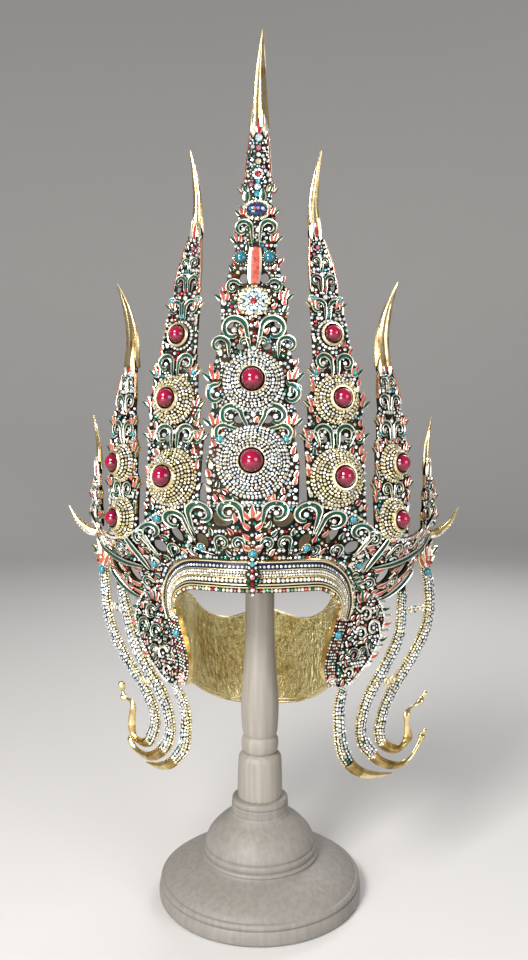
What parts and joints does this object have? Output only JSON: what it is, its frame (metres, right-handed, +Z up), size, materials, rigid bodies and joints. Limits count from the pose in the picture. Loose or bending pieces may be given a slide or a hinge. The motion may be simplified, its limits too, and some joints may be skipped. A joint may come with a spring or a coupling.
{
  "type": "apsara stage headdress on a turned wooden stand",
  "caption": "Tall pierced gold stage crown with jewelled spires, ruby cabochons, cheek plates, curled bead strands and a nape plate, resting on a turned wooden stand.",
  "frame": {"origin": "centre of the stand's flat underside", "axes": "+Z up, -Y the way the headdress faces, +X to the right as seen from the front"},
  "size_m": [0.3948, 0.2255, 0.8094],
  "materials": {
    "gold": "gilded cast relief with green and coral enamel in its hollows",
    "gold_leaf": "crinkled gold leaf, bright",
    "stones": "close-set clear foiled stones in gilt cups",
    "ruby": "polished cabochon",
    "sapphire": "polished cabochon",
    "wood": "bare turned pale wood"
  },
  "bodies": {
    "root": {"stand_base": "wood", "stand_column": "wood", "stand_cap": "wood", "head_ring": "gold", "crown_wall": "gold", "brow_band": "gold", "brow_ornament": "gold", "nape_plate": "gold_leaf", "cheek_plate_left": "gold", "cheek_plate_right": "gold", "horn_left": "gold", "horn_right": "gold", "strand_link_left": "gold", "strand_link_right": "gold", "strand_outer_left": "stones", "strand_outer_right": "stones", "strand_middle_left": "stones", "strand_middle_right": "stones", "strand_inner_left": "stones", "strand_inner_right": "stones", "spire_center": "gold", "tip_center": "gold", "spire_inner_left": "gold", "spire_inner_right": "gold", "tip_inner_left": "gold", "tip_inner_right": "gold", "spire_outer_left": "gold", "spire_outer_right": "gold", "tip_outer_left": "gold", "tip_outer_right": "gold", "spire_small_left": "gold", "spire_small_right": "gold", "tip_small_left": "gold", "tip_small_right": "gold", "medallion_center_low": "stones", "medallion_center_high": "stones", "center_flower": "stones", "medallion_inner_low_left": "stones", "medallion_inner_low_right": "stones", "medallion_inner_high_left": "stones", "medallion_inner_high_right": "stones", "medallion_outer_low_left": "stones", "medallion_outer_low_right": "stones", "medallion_outer_high_left": "stones", "medallion_outer_high_right": "stones", "bezel_left": "gold", "bezel_right": "gold", "gem_center_low": "ruby", "gem_center_high": "ruby", "gem_inner_low_left": "ruby", "gem_inner_low_right": "ruby", "gem_inner_high_left": "ruby", "gem_inner_high_right": "ruby", "gem_outer_low_left": "ruby", "gem_outer_low_right": "ruby", "gem_outer_high_left": "ruby", "gem_outer_high_right": "ruby", "gem_inner_top_left": "ruby", "gem_inner_top_right": "ruby", "crest_stone": "sapphire"}
  },
  "joints": []
}
